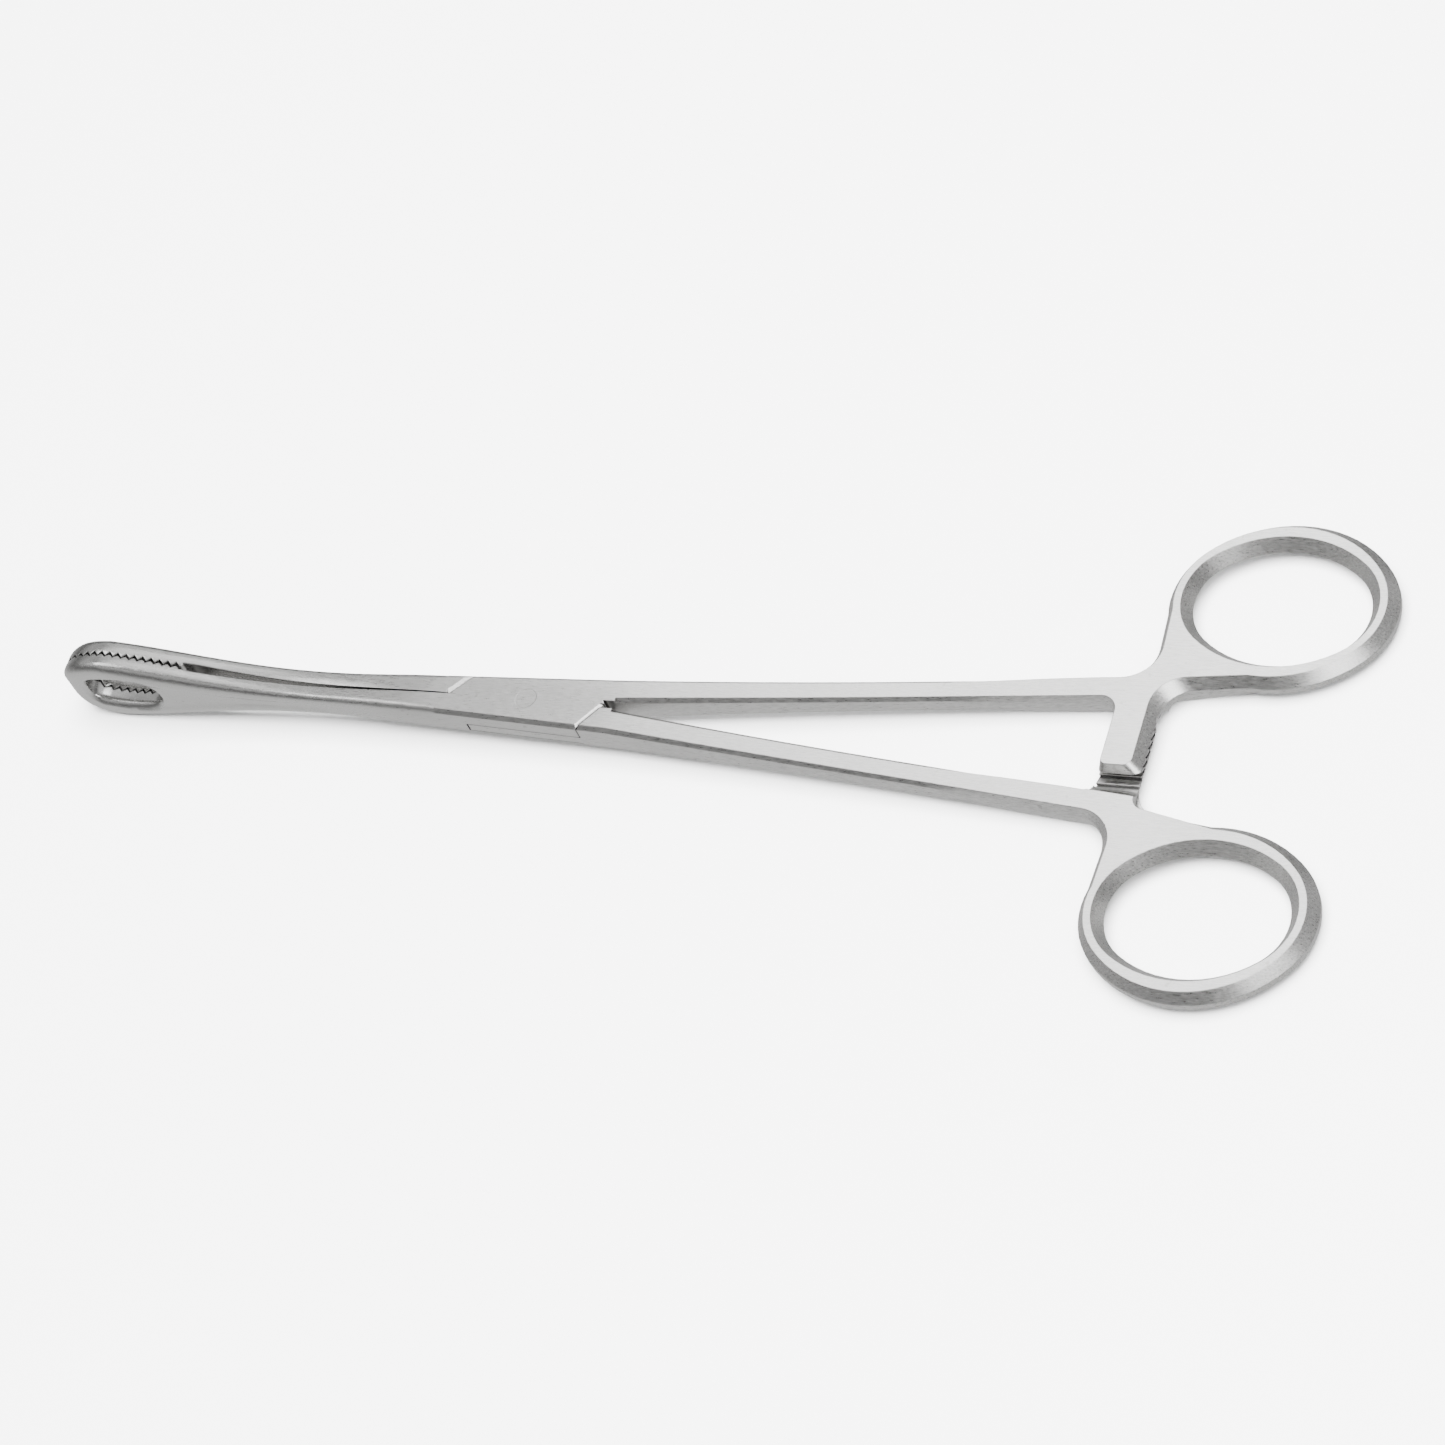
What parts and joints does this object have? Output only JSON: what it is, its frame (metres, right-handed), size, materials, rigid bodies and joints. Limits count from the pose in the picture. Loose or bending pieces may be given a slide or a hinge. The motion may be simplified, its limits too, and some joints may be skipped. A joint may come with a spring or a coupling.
{
  "type": "babcock forceps",
  "caption": "Ring-handled grasping forceps with a box lock, a ratchet catch and oval, windowed jaws with fine teeth.",
  "frame": {"origin": "centre of the hinge: on the pivot axis, in the middle plane of the lock", "axes": "+X along the instrument towards the finger rings, jaws towards -X, +Z along the pivot axis, +Y towards the ring of the box half"},
  "size_m": [0.2026, 0.0782, 0.0126],
  "materials": {
    "satin_steel": "satin",
    "satin_steel_tongue": "satin",
    "pin_steel": "satin"
  },
  "bodies": {
    "box_side": {"box_half": "satin_steel", "pivot_pin": "pin_steel"},
    "tongue_side": {"tongue_half": "satin_steel_tongue"}
  },
  "joints": [
    {"name": "box_lock", "type": "hinge", "parent": "box_side", "child": "tongue_side", "pos_m": [0, 0, 0], "axis": [0, 0, -1], "range_deg": [0, 45]}
  ]
}
